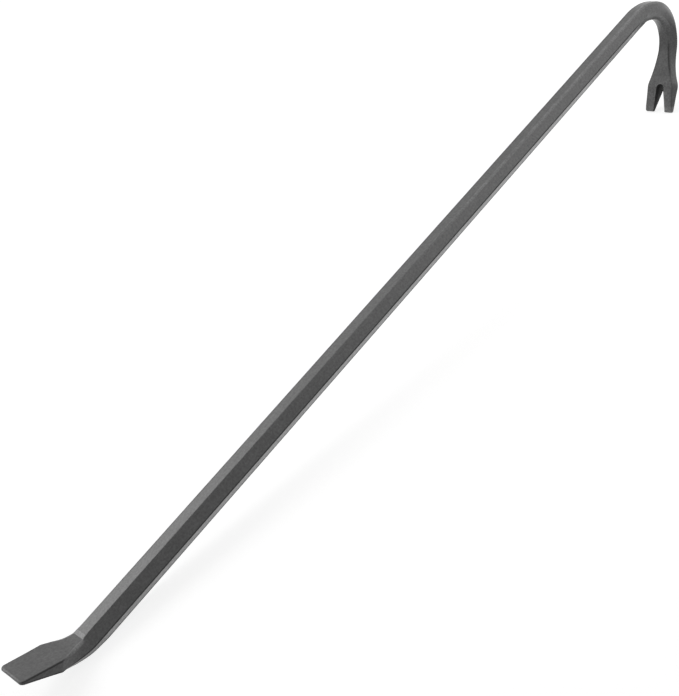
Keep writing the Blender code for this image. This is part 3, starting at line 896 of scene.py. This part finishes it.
def forged_bar(sections, sizes, line):
    """The bar before its nail slot is cut."""
    paint, zones = sizes.paint, paint_zones(sizes, line)
    rings, tones = [], []
    for distance in stations(sizes, line):
        tip_rub = max(1.0 - (line.length - distance) / paint.rubbed_tips,
                      1.0 - distance / paint.rubbed_edge, 0.0)
        outline = rounded_outline(sections.at(distance), sections.edge_radii(distance))
        ring, pairs = [], []
        for (across, up), corner, on_arc in outline:
            point = line.beside(distance, across, up)
            outward = Vector((across, up)).normalized()
            ripple = forged_ripple(point, distance, line, sizes) - SKIN_INSET
            ring.append(line.beside(distance, across + outward.x * ripple, up + outward.y * ripple))
            # Wear and painted shade darken the point, rubbing and painted light make it paler; the
            # tips are rubbed
            worn, rubbed = paint_tones(zones, distance, corner, on_arc)
            pairs.append((worn * (1.0 - tip_rub), max(rubbed, min(tip_rub, TIP_RUB))))
        rings.append(ring)
        tones.append(pairs)
    return loft(rings, tones, "forged_bar")


def mount_named(name):
    """One of the record's mounts."""
    return next(mount for mount in frame["record"]["mounts"] if mount["name"] == name)


def stand_transform(line):
    """Place of the bar's own plane in the frame, from the record's two shank flats."""
    upper, under = mount_named("shank_upper_flat"), mount_named("shank_under_flat")
    middle = (Vector(upper["pos_m"]) + Vector(under["pos_m"])) / 2.0
    normal = Vector(upper["axis"])
    turn = Matrix.Rotation(math.atan2(normal.x, normal.z), 4, 'Y')
    shank_middle, _ = line.at((line.shank_start + line.shank_end) / 2.0)
    return Matrix.Translation(middle) @ turn @ Matrix.Translation(-shank_middle)


def apply_modifiers(piece):
    """Keep a piece's evaluated shape as its mesh."""
    graph = bpy.context.evaluated_depsgraph_get()
    shaped = bpy.data.meshes.new_from_object(piece.evaluated_get(graph))
    piece.modifiers.clear()
    piece.data = shaped


class WRECKINGBAR_OT_bar(bpy.types.Operator):
    """Forge the bar, cut its nail slot and paint it"""
    bl_idname = "wreckingbar.bar"
    bl_label = "Forged Bar"

    def execute(self, context):
        sizes = context.scene.wrecking_bar
        line = Centreline(sizes.stock)
        sections = Sections(sizes, line)
        bar = forged_bar(sections, sizes, line)
        cutter = slot_cutter(sections, line)
        cut = bar.modifiers.new("nail_slot", 'BOOLEAN')
        cut.operation = 'DIFFERENCE'
        cut.solver = 'EXACT'
        cut.object = cutter
        bpy.context.view_layer.update()
        apply_modifiers(bar)
        bpy.data.objects.remove(cutter, do_unlink=True)
        bar.data.transform(stand_transform(line))
        bar.data.shade_smooth()
        bar.data.set_sharp_from_angle(angle=SHARP_ANGLE)
        flat = bar.modifiers.new("flat_faces", 'WEIGHTED_NORMAL')
        flat.keep_sharp = True
        bar.data.materials.clear()
        bar.data.materials.append(grey_paint(sizes.paint))
        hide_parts("wrecking_bar")
        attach(bar, "root")
        return {'FINISHED'}


# Camera: where it looks, from which side, and how it is held
VIEW_TARGET = Vector((-0.10275, 0.0, 0.0521))
VIEW_DISTANCE = 0.8775
VIEW_AZIMUTH = math.radians(37.77)
VIEW_ELEVATION = math.radians(33.10)
VIEW_ROLL = math.radians(-18.86)
LENS = 56.246                       # millimetres, for a 36 mm sensor
SHIFT = (-0.0040, -0.0030)
CLIP_START = 0.01

# Lamps: compass angle from +Y towards +X and height above the floor, both in degrees
LAMPS = (("key", 330.0, 35.0), ("back", 345.0, 45.0), ("top", 15.0, 60.0),
         ("side", 105.0, 52.0), ("fill", 135.0, 20.0), ("front", 157.0, 35.0))
LAMP_TARGET = Vector((0.0, 0.0, 0.05))
LAMP_DISTANCE = 1.6
LAMP_SIZE = 1.0
FLOOR_REACH = 6.0                   # from the middle of the floor to its sides


def add_camera():
    """Camera that looks down at the bar from the blade's side."""
    data = bpy.data.cameras.new("studio_camera")
    data.lens = LENS
    data.shift_x, data.shift_y = SHIFT
    data.clip_start = CLIP_START
    camera = bpy.data.objects.new("studio_camera", data)
    bpy.context.collection.objects.link(camera)
    forward = Vector((math.sin(VIEW_AZIMUTH) * math.cos(VIEW_ELEVATION),
                      math.cos(VIEW_AZIMUTH) * math.cos(VIEW_ELEVATION),
                      -math.sin(VIEW_ELEVATION)))
    right = forward.cross(Vector((0.0, 0.0, 1.0))).normalized()
    up = right.cross(forward)
    level = Matrix((right, up, -forward)).transposed()
    camera.matrix_world = (Matrix.Translation(VIEW_TARGET - forward * VIEW_DISTANCE)
                           @ level.to_4x4() @ Matrix.Rotation(VIEW_ROLL, 4, 'Z'))
    bpy.context.scene.camera = camera


def add_lamp(name, azimuth, elevation, watts):
    """Square soft box that faces the middle of the bar."""
    azimuth, elevation = math.radians(azimuth), math.radians(elevation)
    away = Vector((math.sin(azimuth) * math.cos(elevation),
                   math.cos(azimuth) * math.cos(elevation), math.sin(elevation)))
    data = bpy.data.lights.new(name, 'AREA')
    data.shape = 'SQUARE'
    data.size = LAMP_SIZE
    data.energy = watts
    lamp = bpy.data.objects.new(name, data)
    bpy.context.collection.objects.link(lamp)
    lamp.location = LAMP_TARGET + away * LAMP_DISTANCE
    lamp.rotation_euler = (-away).to_track_quat('-Z', 'Y').to_euler()


def add_floor(look):
    """Square sheet of paper under the bar."""
    mesh = bpy.data.meshes.new("studio_floor")
    corners = [(side * FLOOR_REACH, end * FLOOR_REACH, 0.0)
               for side, end in ((-1, -1), (1, -1), (1, 1), (-1, 1))]
    mesh.from_pydata(corners, [], [(0, 1, 2, 3)])
    floor = bpy.data.objects.new("studio_floor", mesh)
    bpy.context.collection.objects.link(floor)
    mesh.materials.append(floor_paper(look))


def add_room():
    """Room that the camera, mirror and clear rays see white, and that sheds no light itself."""
    room = Shader(bpy.data.worlds.new("studio_room"))
    white = room.node("Background", Color=opaque(WHITE), Strength=room.looked_at())
    bpy.context.scene.world = room.finish("OutputWorld", white)


class WRECKINGBAR_OT_studio(bpy.types.Operator):
    """Lay the pale floor, hang the lamps and place the camera"""
    bl_idname = "wreckingbar.studio"
    bl_label = "Studio"

    def execute(self, context):
        look = context.scene.wrecking_bar.studio
        context.scene.view_settings.view_transform = 'Standard'
        add_floor(look)
        add_room()
        for name, azimuth, elevation in LAMPS:
            add_lamp(name + "_lamp", azimuth, elevation, getattr(look, name))
        add_camera()
        return {'FINISHED'}


class WreckingBar(bpy.types.PropertyGroup):
    """Everything that a user would change."""
    stock: PointerProperty(type=StockSizes)
    blade: PointerProperty(type=BladeSizes)
    claw: PointerProperty(type=ClawSizes)
    paint: PointerProperty(type=PaintLook)
    studio: PointerProperty(type=StudioLook)


class WRECKINGBAR_PT_panel(bpy.types.Panel):
    """Sizes, finish and build buttons"""
    bl_idname = "WRECKINGBAR_PT_panel"
    bl_label = "Wrecking Bar"
    bl_space_type = 'VIEW_3D'
    bl_region_type = 'UI'
    bl_category = "Wrecking Bar"

    def draw(self, context):
        bar = context.scene.wrecking_bar
        for title in ("stock", "blade", "claw", "paint", "studio"):
            group = getattr(bar, title)
            box = self.layout.box()
            box.label(text=title.capitalize())
            for name in group.__annotations__:
                box.prop(group, name)
        self.layout.operator(WRECKINGBAR_OT_bar.bl_idname)
        self.layout.operator(WRECKINGBAR_OT_studio.bl_idname)


CLASSES = (StockSizes, BladeSizes, ClawSizes, PaintLook, StudioLook, WreckingBar,
           WRECKINGBAR_OT_bar, WRECKINGBAR_OT_studio, WRECKINGBAR_PT_panel)


def register():
    for item in CLASSES:
        bpy.utils.register_class(item)
    bpy.types.Scene.wrecking_bar = PointerProperty(type=WreckingBar)


def unregister():
    del bpy.types.Scene.wrecking_bar
    for item in reversed(CLASSES):
        bpy.utils.unregister_class(item)


def main():
    register()
    bpy.ops.wreckingbar.bar()
    bpy.ops.wreckingbar.studio()


if __name__ == "__main__":
    main()
